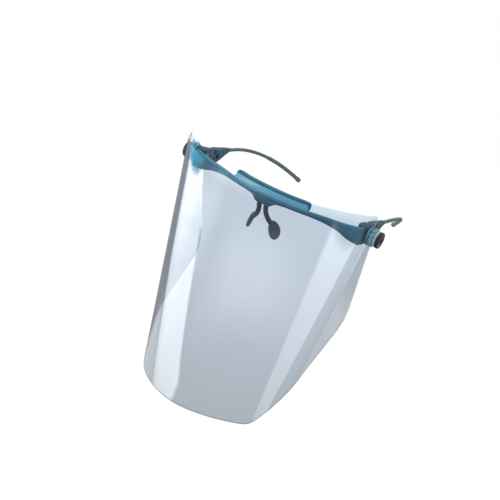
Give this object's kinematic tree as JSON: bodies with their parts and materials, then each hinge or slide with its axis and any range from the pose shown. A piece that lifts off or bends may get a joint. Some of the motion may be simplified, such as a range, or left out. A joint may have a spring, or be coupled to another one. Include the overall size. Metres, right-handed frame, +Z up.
{
  "type": "face shield",
  "caption": "Spectacle-type face shield: a clear wraparound visor that flips up on side pivots of a slim brow frame with a brow pad, nose pads and folding temples.",
  "frame": {"origin": "middle of the visor's pivot axis, midway between the two side knobs", "axes": "+X to the right as the front is seen, -Y towards the front, +Y towards the wearer's ears, +Z up; the pivot axis is the X axis"},
  "size_m": [0.1588, 0.2242, 0.1727],
  "materials": {
    "frame_nylon": "satin moulded nylon",
    "light_nylon": "satin moulded nylon",
    "pad_foam": "soft closed-cell foam",
    "nose_plastic": "satin",
    "nose_rubber": "soft matt rubber",
    "temple_plastic": "satin moulded nylon",
    "sleeve_rubber": "soft matt rubber",
    "clear_sheet": "clear polished sheet",
    "spacer_plastic": "satin white plastic",
    "knob_plastic": "semi-gloss black",
    "washer_rubber": "matt rubber",
    "screw_steel": "brushed"
  },
  "bodies": {
    "frame": {"brow_bar": "frame_nylon", "pad_carrier": "light_nylon", "carrier_pins": "frame_nylon", "brow_pad": "pad_foam", "nose_bridge": "frame_nylon", "bridge_screw": "screw_steel", "nose_arm_left": "nose_plastic", "nose_arm_right": "nose_plastic", "nose_pad_left": "nose_rubber", "nose_pad_right": "nose_rubber", "end_block_left": "frame_nylon", "end_block_right": "frame_nylon", "block_pins_left": "frame_nylon", "block_pins_right": "frame_nylon", "pivot_screw_left": "screw_steel", "pivot_screw_right": "screw_steel", "friction_washer_left": "washer_rubber", "friction_washer_right": "washer_rubber", "spacer_ring_left": "spacer_plastic", "spacer_ring_right": "spacer_plastic", "pivot_knob_left": "knob_plastic", "pivot_knob_right": "knob_plastic"},
    "visor": {"visor": "clear_sheet", "visor_bush_left": "frame_nylon", "visor_bush_right": "frame_nylon"},
    "temple_left": {"temple_base_left": "temple_plastic", "hinge_screw_left": "screw_steel", "temple_arm_left": "temple_plastic", "ear_sleeve_left": "sleeve_rubber"},
    "temple_right": {"temple_base_right": "temple_plastic", "hinge_screw_right": "screw_steel", "temple_arm_right": "temple_plastic", "ear_sleeve_right": "sleeve_rubber"}
  },
  "joints": [
    {"name": "visor_flip", "type": "hinge", "parent": "frame", "child": "visor", "pos_m": [0, 0, 0], "axis": [-1, 0, 0], "range_deg": [0, 95]},
    {"name": "temple_fold_right", "type": "hinge", "parent": "frame", "child": "temple_right", "pos_m": [0.06515, 0.0138, 0], "axis": [0, 0, 1], "range_deg": [0, 78]},
    {"name": "temple_fold_left", "type": "hinge", "parent": "frame", "child": "temple_left", "pos_m": [-0.06515, 0.0138, 0], "axis": [0, 0, -1], "range_deg": [0, 88]}
  ]
}
